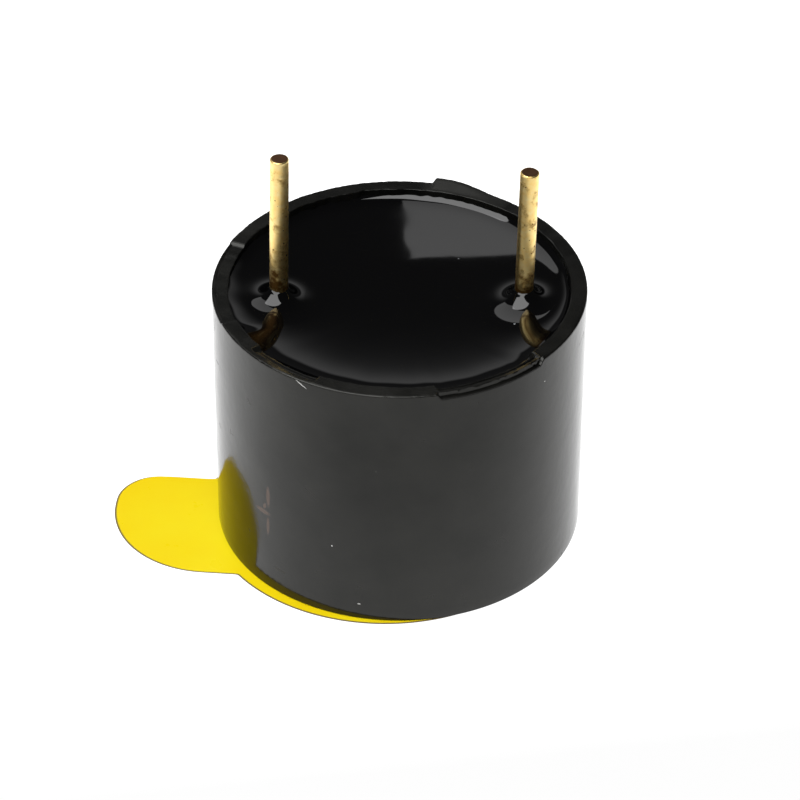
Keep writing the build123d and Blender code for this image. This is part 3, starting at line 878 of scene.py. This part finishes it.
def make_room():
    """World light: a band of light a quarter of the way up that fades to a dark ceiling and stops short
    of the horizon. Straight to the camera it is white."""
    world = bpy.data.worlds.new("room")
    bpy.context.scene.world = world
    world.use_nodes = True
    tree = world.node_tree
    tree.nodes.clear()
    direction = tree.nodes.new("ShaderNodeTexCoord").outputs["Generated"]
    split = add(tree, "ShaderNodeSeparateXYZ", {"Vector": direction})
    up = split.outputs["Z"]
    behind = add(tree, "ShaderNodeMapRange", {"Value": split.outputs["Y"], "From Min": 0.6, "From Max": 0.9})
    fall = add(tree, "ShaderNodeMapRange", {"Value": up, "From Min": 0.30, "From Max": 0.62,
                                            "To Min": 1.0, "To Max": 0.0}, interpolation_type="SMOOTHERSTEP")
    rise = add(tree, "ShaderNodeMapRange", {"Value": up, "From Min": 0.26, "From Max": 0.33,
                                            "To Min": 0.0, "To Max": 1.0}, interpolation_type="SMOOTHSTEP")
    band = add(tree, "ShaderNodeMath", {0: fall.outputs[0], 1: rise.outputs[0]}, operation="MULTIPLY")
    band = add(tree, "ShaderNodeMath", {0: band.outputs[0], 1: behind.outputs[0]}, operation="MULTIPLY")
    level = add(tree, "ShaderNodeMapRange", {"Value": band.outputs[0], "To Min": 0.035, "To Max": 0.38})
    below = add(tree, "ShaderNodeMapRange", {"Value": up, "From Min": -0.02, "From Max": -0.1})
    level = add(tree, "ShaderNodeMath", {0: level.outputs[0], 1: below.outputs[0]}, operation="MAXIMUM")
    path = tree.nodes.new("ShaderNodeLightPath")
    level = add(tree, "ShaderNodeMath", {0: level.outputs[0], 1: path.outputs["Is Camera Ray"]}, operation="MAXIMUM")
    back = add(tree, "ShaderNodeBackground", {"Color": (1, 1, 1, 1), "Strength": level.outputs[0]})
    add(tree, "ShaderNodeOutputWorld", {"Surface": back.outputs[0]})


make_room()

# %% Lamps


def softbox(name, azimuth, elevation, distance, width, height, brightness, left=0):
    """Square lamp that faces the part. Azimuth 0 is behind the part as the camera sees it, and grows
    to the left. Brightness is how bright the lamp's face looks, where 1 is white. Left slides the
    lamp sideways in metres."""
    a, e = np.radians(azimuth), np.radians(elevation)
    towards = Vector((-np.sin(a) * np.cos(e), np.cos(a) * np.cos(e), np.sin(e)))
    data = bpy.data.lights.new(name, "AREA")
    data.shape, data.size, data.size_y = "RECTANGLE", width, height
    data.energy = brightness * np.pi * width * height
    lamp = bpy.data.objects.new(name, data)
    lamp.location = towards * distance + Vector((-left * np.cos(a), -left * np.sin(a), 0.009))
    lamp.rotation_mode = "QUATERNION"
    lamp.rotation_quaternion = towards.to_track_quat("Z", "Y")
    bpy.context.scene.collection.objects.link(lamp)
    print(name, "at", [round(v, 2) for v in lamp.location])
    return lamp


softbox("overhead softbox", 138, 57, 0.6, 0.72, 0.62, 3.6)
softbox("back softbox", 0, 61.2, 0.6, 0.45, 0.42, 0.98, left=0.227)

# %% Camera


def make_camera():
    """Looks at a point on the axis from in front and above. The tilt about the line of sight is a
    third of a degree."""
    elevation, distance, roll = np.radians(36.95), 120.55, 0.0053
    target = Vector((0.032, 0, 0)) + Vector((0, np.sin(elevation), np.cos(elevation))) * 3.502
    back = Vector((0, -np.cos(elevation), np.sin(elevation)))
    right, up = Vector((1, 0, 0)), Vector((0, np.sin(elevation), np.cos(elevation)))
    x_axis = np.cos(roll) * right + np.sin(roll) * up
    y_axis = -np.sin(roll) * right + np.cos(roll) * up
    data = bpy.data.cameras.new("camera")
    data.sensor_width, data.lens = 36.0, 162.4
    data.clip_start, data.clip_end = 0.01, 20.0
    camera = bpy.data.objects.new("camera", data)
    place = (target + back * distance) * MM
    rows = [[x_axis[i], y_axis[i], back[i], place[i]] for i in range(3)]
    camera.matrix_world = Matrix([*rows, [0, 0, 0, 1]])
    bpy.context.scene.collection.objects.link(camera)
    bpy.context.scene.camera = camera
    return camera


make_camera()
bpy.context.scene.view_settings.view_transform = "Standard"
